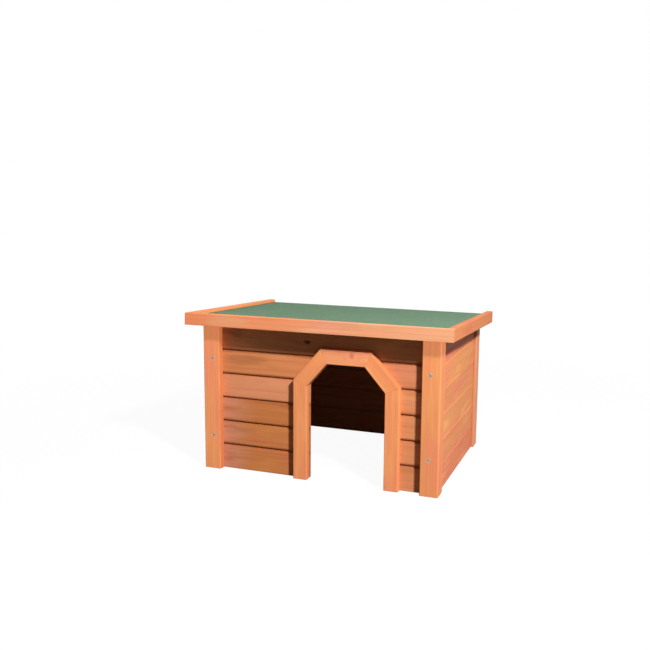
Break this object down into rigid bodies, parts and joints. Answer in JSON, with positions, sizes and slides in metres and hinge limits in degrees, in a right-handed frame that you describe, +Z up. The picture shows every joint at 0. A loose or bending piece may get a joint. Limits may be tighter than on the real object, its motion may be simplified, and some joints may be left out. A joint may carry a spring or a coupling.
{
  "type": "small animal house",
  "caption": "Low wooden animal house with tongued and grooved walls, a framed doorway with cut corners and a sloping felted roof that opens as a lid on rear hinges.",
  "frame": {"origin": "on the ground, in the middle of the overall box", "axes": "+X to the right seen from the front, +Y towards the hinged back, +Z up"},
  "size_m": [0.5, 0.3794, 0.2988],
  "materials": {
    "post_wood": "orange glaze, planed",
    "door_frame_wood": "orange glaze, planed",
    "board_wood": "orange-brown glaze, pine with knots",
    "roof_trim_wood": "orange glaze, planed",
    "batten_wood": "orange glaze, sawn",
    "plywood": "plain plywood",
    "roofing_felt": "green mineral grit on bitumen felt",
    "zinc_screws": "zinc plated",
    "hinge_steel": "zinc plated"
  },
  "bodies": {
    "house": {"back_board_1": "board_wood", "back_board_2": "board_wood", "back_board_3": "board_wood", "back_board_4": "board_wood", "back_board_5": "board_wood", "corner_screws": "zinc_screws", "door_trim_left": "door_frame_wood", "door_trim_right": "door_frame_wood", "door_trim_top": "door_frame_wood", "door_trim_upper_left": "door_frame_wood", "door_trim_upper_right": "door_frame_wood", "front_board_1_left": "board_wood", "front_board_1_right": "board_wood", "front_board_2_left": "board_wood", "front_board_2_right": "board_wood", "front_board_3_left": "board_wood", "front_board_3_right": "board_wood", "front_board_4_left": "board_wood", "front_board_4_right": "board_wood", "front_board_5": "board_wood", "front_board_6": "board_wood", "front_left_post": "post_wood", "front_right_post": "post_wood", "hinge_pins": "hinge_steel", "left_board_1": "board_wood", "left_board_2": "board_wood", "left_board_3": "board_wood", "left_board_4": "board_wood", "left_board_5": "board_wood", "left_board_6": "board_wood", "left_corner_batten": "batten_wood", "left_hinge_wall_leaf": "hinge_steel", "rear_left_post": "post_wood", "rear_right_post": "post_wood", "right_board_1": "board_wood", "right_board_2": "board_wood", "right_board_3": "board_wood", "right_board_4": "board_wood", "right_board_5": "board_wood", "right_board_6": "board_wood", "right_corner_batten": "batten_wood", "right_hinge_wall_leaf": "hinge_steel", "wall_hinge_screws": "hinge_steel"},
    "roof": {"front_fascia": "roof_trim_wood", "left_hinge_roof_leaf": "hinge_steel", "left_roof_batten": "batten_wood", "left_roof_trim": "roof_trim_wood", "rear_roof_rail": "batten_wood", "right_hinge_roof_leaf": "hinge_steel", "right_roof_batten": "batten_wood", "right_roof_trim": "roof_trim_wood", "roof_deck": "plywood", "roof_felt": "roofing_felt", "roof_hinge_screws": "hinge_steel"}
  },
  "joints": [
    {"name": "roof_hinge", "type": "hinge", "parent": "house", "child": "roof", "pos_m": [0, 0.18674, 0.22715], "axis": [-1, 0, 0], "range_deg": [0, 180]}
  ]
}
